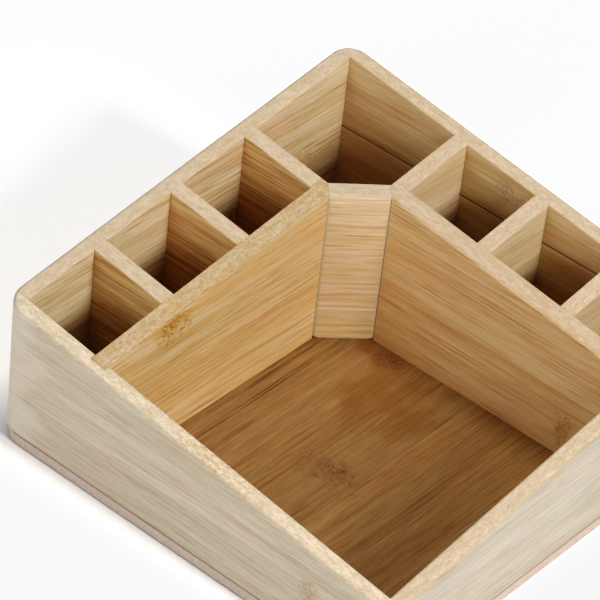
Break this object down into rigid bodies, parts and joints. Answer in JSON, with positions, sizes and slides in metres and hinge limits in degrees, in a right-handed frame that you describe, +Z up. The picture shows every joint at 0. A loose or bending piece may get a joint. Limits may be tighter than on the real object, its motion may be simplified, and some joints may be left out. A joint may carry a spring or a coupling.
{
  "type": "desk organizer",
  "caption": "Square bamboo desk organizer with a sloping top, a large open tray and rows of pen and supply cells round its tall corner.",
  "frame": {"origin": "centre of the underside of the base board, on the surface that the organizer stands on", "axes": "+Z up; +X right and +Y back, along the sides; the tall corner is at -X +Y and the low corner at +X -Y"},
  "size_m": [0.2, 0.2, 0.0961],
  "materials": {
    "outer_bamboo": "sanded bamboo, clear satin",
    "inner_bamboo": "sanded bamboo with honey streaks, clear satin",
    "divider_bamboo": "sanded bamboo, clear satin",
    "panel_bamboo": "sanded bamboo laid crosswise, clear satin",
    "base_bamboo": "sanded bamboo in wide strips, clear satin"
  },
  "bodies": {
    "root": {"base_board": "base_bamboo", "front_wall": "outer_bamboo", "right_wall": "outer_bamboo", "left_wall": "outer_bamboo", "back_wall_lower": "outer_bamboo", "back_wall_upper": "outer_bamboo", "left_inner_wall": "inner_bamboo", "back_inner_wall": "inner_bamboo", "corner_panel": "panel_bamboo", "left_divider_1": "divider_bamboo", "left_divider_2": "divider_bamboo", "left_divider_3": "divider_bamboo", "back_divider_1": "divider_bamboo", "back_divider_2": "divider_bamboo", "back_divider_3": "divider_bamboo"}
  },
  "joints": []
}
